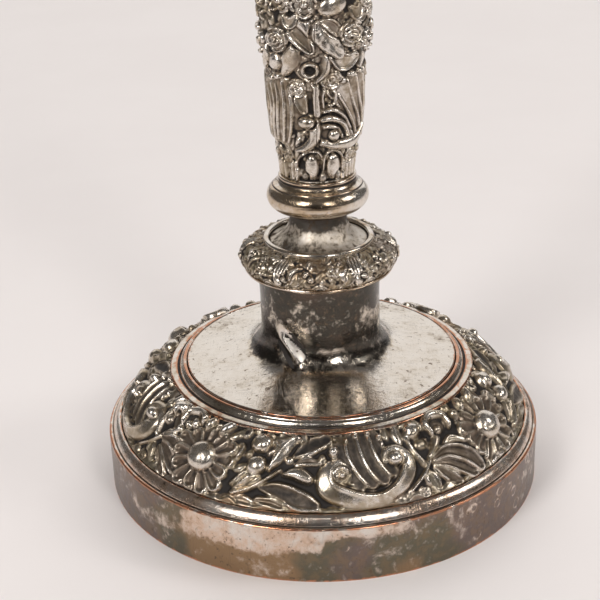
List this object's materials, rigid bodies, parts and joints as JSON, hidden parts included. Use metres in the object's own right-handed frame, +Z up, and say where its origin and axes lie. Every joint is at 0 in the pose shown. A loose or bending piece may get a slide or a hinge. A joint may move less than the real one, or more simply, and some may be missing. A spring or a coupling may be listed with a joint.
{
  "type": "altar candlestick",
  "caption": "Baluster candlestick in worn silver plate on a weighted round foot, with stamped flower and scroll borders, a chased stem and a lift-out nozzle with drip pan.",
  "frame": {"origin": "centre of the foot's resting face", "axes": "+Z up along the stem, -Y towards the front, +X to the right seen from the front"},
  "size_m": [0.15, 0.15, 0.2673],
  "materials": {
    "silver_plate": "silver-plated copper, polished, tarnished and worn to copper at the edges",
    "iron": "dull black iron",
    "pitch": "pitch filling",
    "felt": "green baize"
  },
  "bodies": {
    "stick": {"felt_pad": "felt", "base_plate": "iron", "foot_nut": "iron", "foot_washer": "iron", "loading": "pitch", "tie_rod": "iron", "foot_band": "silver_plate", "foot_moulding": "silver_plate", "foot_border": "silver_plate", "well_ring": "silver_plate", "foot_trumpet": "silver_plate", "collar_plate": "silver_plate", "collar_wreath": "silver_plate", "collar_rim": "silver_plate", "neck_spool": "silver_plate", "lower_knop": "silver_plate", "stem_foot_ring": "silver_plate", "stem_half_left": "silver_plate", "stem_half_right": "silver_plate", "stem_top_ring": "silver_plate", "upper_spool": "silver_plate", "upper_plate": "silver_plate", "upper_wreath": "silver_plate", "upper_rim": "silver_plate", "socket_spool": "silver_plate", "upper_knop": "silver_plate", "socket_shell": "silver_plate", "socket_washer": "iron", "socket_nut": "iron", "socket_liner": "silver_plate", "socket_rim": "silver_plate"},
    "nozzle": {"nozzle_tube": "silver_plate", "nozzle_floor": "silver_plate", "drip_pan": "silver_plate", "pan_border": "silver_plate", "pan_wire": "silver_plate"}
  },
  "joints": [
    {"name": "nozzle_lift", "type": "slide", "parent": "stick", "child": "nozzle", "axis": [0, 0, 1], "range_m": [0, 0.036]}
  ]
}
